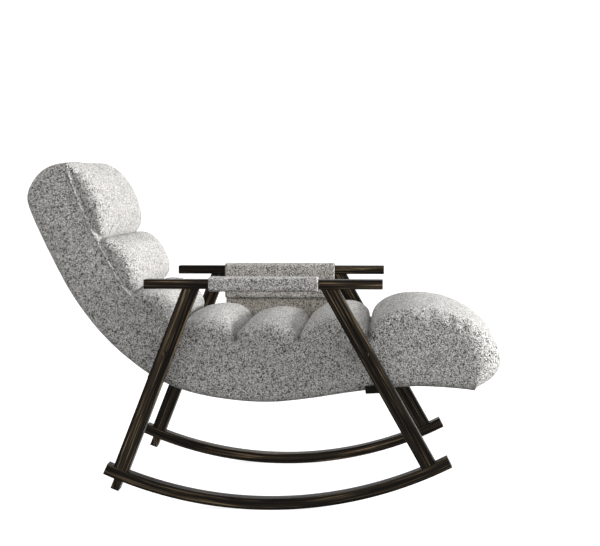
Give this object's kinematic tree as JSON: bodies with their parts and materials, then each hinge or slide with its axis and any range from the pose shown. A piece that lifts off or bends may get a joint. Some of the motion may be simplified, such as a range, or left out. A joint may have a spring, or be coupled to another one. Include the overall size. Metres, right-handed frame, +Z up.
{
  "type": "rocking chair",
  "caption": "Upholstered lounge rocking chair: an S-shaped padded seat with rolled cushions between dark wooden side frames on curved rockers, with padded arms and a side pocket.",
  "frame": {"origin": "on the floor, under the middle of the overall length and width; the rockers touch the floor at x = 0.0145", "axes": "+X forward, the way the sitter faces; +Y to the sitter's left, the side with the pocket; +Z up"},
  "size_m": [1.2312, 0.714, 0.888],
  "materials": {
    "stained_ash": "open-grain ash stained near black, with brown grain lines, satin",
    "plywood": "birch plywood, sanded",
    "boucle": "looped boucle in warm light grey with dark flecks",
    "webbing": "woven elastic webbing",
    "foam": "open-cell upholstery foam",
    "steel": "zinc plated"
  },
  "bodies": {
    "root": {"right_rocker": "stained_ash", "left_rocker": "stained_ash", "right_rear_stop": "stained_ash", "left_rear_stop": "stained_ash", "right_back_leg": "stained_ash", "left_back_leg": "stained_ash", "right_front_leg": "stained_ash", "left_front_leg": "stained_ash", "right_arm_rail": "stained_ash", "left_arm_rail": "stained_ash", "front_cross_rail": "stained_ash", "back_cross_rail": "stained_ash", "bolt_plugs": "stained_ash", "right_side_frame": "plywood", "left_side_frame": "plywood", "pod_head_rail": "plywood", "pod_back_rail": "plywood", "pod_rear_rail": "plywood", "pod_front_rail": "plywood", "pod_toe_rail": "plywood", "outer_cover": "boucle", "head_roll": "boucle", "middle_back_roll": "boucle", "lower_back_roll": "boucle", "rear_seat_roll": "boucle", "middle_seat_roll": "boucle", "front_seat_roll": "boucle", "leg_roll": "boucle", "right_arm_sleeve": "boucle", "left_arm_saddle": "boucle", "pocket_panel": "boucle", "pocket_pouch": "boucle", "back_webbing": "webbing", "seat_webbing": "webbing", "leg_webbing": "webbing", "back_foam": "foam", "seat_foam": "foam", "leg_foam": "foam", "leg_bolts": "steel", "leg_spacers": "steel", "threaded_inserts": "steel", "stop_screws": "steel"}
  },
  "joints": []
}
